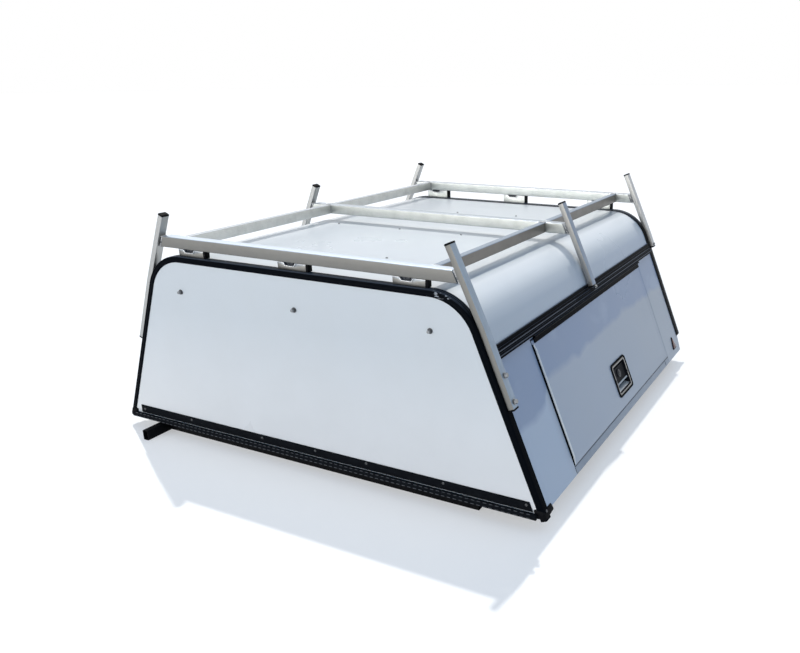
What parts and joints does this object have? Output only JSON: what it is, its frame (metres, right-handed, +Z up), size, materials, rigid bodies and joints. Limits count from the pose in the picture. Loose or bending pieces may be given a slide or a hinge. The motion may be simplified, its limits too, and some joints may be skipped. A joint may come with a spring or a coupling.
{
  "type": "pickup truck canopy",
  "caption": "White pickup truck canopy with leaning sides, top-hinged side door with paddle latch, roof rack and low stand.",
  "frame": {"origin": "on the floor, under the middle of the whole object's box", "axes": "+Z up, -Y towards the front wall (the cab end), +X towards the side whose door opens"},
  "size_m": [1.704, 1.772, 0.8142],
  "materials": {
    "white_panel": "gloss white paint",
    "black_trim": "satin black",
    "black_rubber": "matt",
    "bare_aluminium": "mill finish, dulled",
    "stainless": "polished",
    "latch_black": "satin black",
    "stand_black": "satin black"
  },
  "bodies": {
    "canopy": {"roof_shell": "white_panel", "roof_bow_1": "bare_aluminium", "roof_bow_2": "bare_aluminium", "roof_bow_3": "bare_aluminium", "front_wall": "white_panel", "front_edge_trim": "black_trim", "front_seal_strip": "black_rubber", "front_bulb_seal": "black_rubber", "right_front_panel": "white_panel", "right_rear_panel": "white_panel", "right_door_sill": "white_panel", "right_door_header": "white_panel", "right_base_rail": "bare_aluminium", "right_drip_rail": "black_trim", "left_front_panel": "white_panel", "left_rear_panel": "white_panel", "left_door_sill": "white_panel", "left_door_header": "white_panel", "left_base_rail": "bare_aluminium", "left_drip_rail": "black_trim", "left_door": "white_panel", "left_hinge_leaf": "black_trim", "left_latch_housing": "stainless", "left_latch_paddle": "latch_black", "rear_frame": "white_panel", "rear_door": "white_panel", "rear_edge_trim": "black_trim", "rear_sill": "white_panel", "rear_hinge": "black_trim", "rear_latch": "stainless", "rack_front_crossbar": "bare_aluminium", "rack_middle_crossbar": "bare_aluminium", "rack_rear_crossbar": "bare_aluminium", "rack_right_front_rail": "bare_aluminium", "rack_right_middle_rail": "bare_aluminium", "rack_left_front_rail": "bare_aluminium", "rack_left_middle_rail": "bare_aluminium", "rack_right_front_upright": "bare_aluminium", "rack_right_middle_upright": "bare_aluminium", "rack_right_rear_upright": "bare_aluminium", "rack_left_front_upright": "bare_aluminium", "rack_left_middle_upright": "bare_aluminium", "rack_left_rear_upright": "bare_aluminium", "rack_front_left_foot": "bare_aluminium", "rack_front_middle_foot": "bare_aluminium", "rack_front_right_foot": "bare_aluminium", "rack_rear_left_foot": "bare_aluminium", "rack_rear_middle_foot": "bare_aluminium", "rack_rear_right_foot": "bare_aluminium", "stand_front_bearer": "stand_black", "stand_rear_bearer": "stand_black", "stand_left_runner": "stand_black", "stand_right_runner": "stand_black"},
    "right_door": {"right_door": "white_panel", "right_hinge_leaf": "black_trim", "right_latch_housing": "stainless"},
    "right_latch_paddle": {"right_latch_paddle": "latch_black"}
  },
  "joints": [
    {"name": "right_door_hinge", "type": "hinge", "parent": "canopy", "child": "right_door", "pos_m": [0.677, 0.021, 0.48027], "axis": [0, -1, 0], "range_deg": [0, 85]},
    {"name": "right_latch_pull", "type": "hinge", "parent": "right_door", "child": "right_latch_paddle", "pos_m": [0.77542, 0.038, 0.21211], "axis": [0, -1, 0], "range_deg": [0, 30], "stiffness_Nm_per_rad": 0.4, "springref_deg": -17.19}
  ]
}
